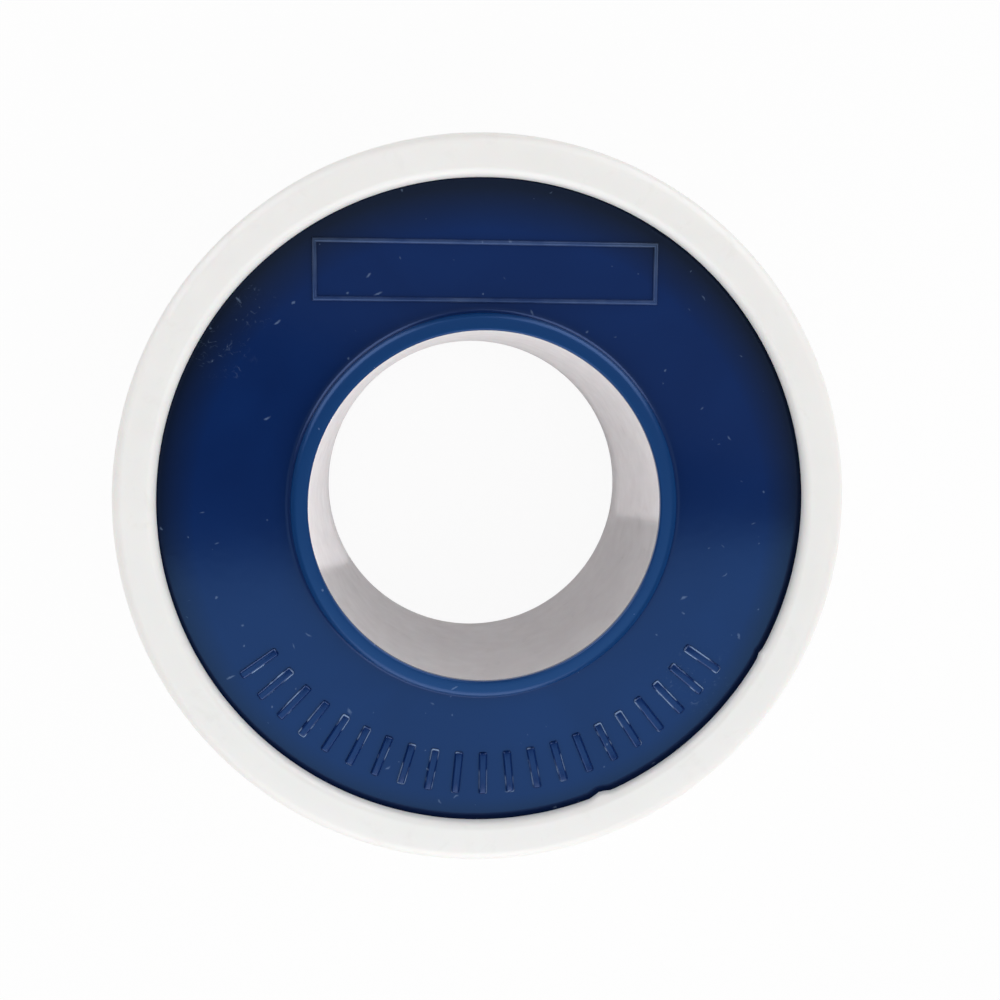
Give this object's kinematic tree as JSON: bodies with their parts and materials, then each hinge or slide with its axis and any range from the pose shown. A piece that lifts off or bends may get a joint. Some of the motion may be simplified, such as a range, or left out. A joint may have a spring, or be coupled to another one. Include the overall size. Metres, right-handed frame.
{
  "type": "thread seal tape roll",
  "caption": "Round roll of thread seal tape: a recessed blue spool turns on a white hub inside a white push-on cover, with an open bore right through.",
  "frame": {"origin": "on the bore axis, in the plane of the rear face that the roll rests on", "axes": "+Z along the bore axis towards the blue flange, +Y towards the bare framed panel on the flange"},
  "size_m": [0.05, 0.05, 0.017],
  "materials": {
    "white_shell": "satin moulded polypropylene",
    "white_sleeve": "satin moulded polypropylene",
    "blue_moulding": "moulded polypropylene, glossy with light scuffs",
    "tape_film": "soft matt PTFE film"
  },
  "bodies": {
    "hub": {"hub": "white_sleeve"},
    "cover": {"cover": "white_shell"},
    "spool": {"spool": "blue_moulding", "tape": "tape_film"}
  },
  "joints": [
    {"name": "cover_pull", "type": "slide", "parent": "hub", "child": "cover", "axis": [0, 0, 1], "range_m": [0, 0.02]},
    {"name": "spool_spin", "type": "hinge", "parent": "hub", "child": "spool", "pos_m": [0, 0, 0.015], "axis": [0, 0, 1], "continuous": true}
  ]
}
